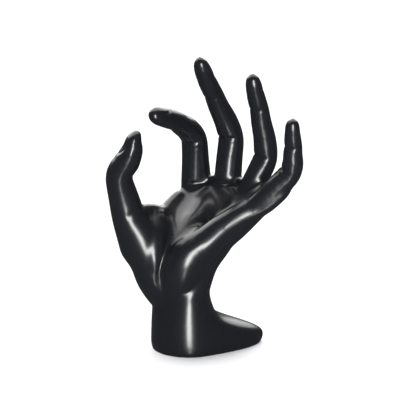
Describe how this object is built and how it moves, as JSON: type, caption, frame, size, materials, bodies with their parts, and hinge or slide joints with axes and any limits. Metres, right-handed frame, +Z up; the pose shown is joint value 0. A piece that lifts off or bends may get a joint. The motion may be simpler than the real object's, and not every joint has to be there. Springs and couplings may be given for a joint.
{
  "type": "hand jewelry stand",
  "caption": "Upright left hand on a spreading wrist foot, its thumb and forefinger curled into a ring and its other fingers raised, for rings, bracelets and necklaces.",
  "frame": {"origin": "on the flat underside of the foot, below the wrist", "axes": "+Z up along the raised fingers, +X towards the foot's toe and the little finger, -Y towards the viewer, who sees the palm"},
  "size_m": [0.1066, 0.0666, 0.1632],
  "materials": {
    "gloss_black": "gloss"
  },
  "bodies": {
    "root": {"hand": "gloss_black"}
  },
  "joints": []
}
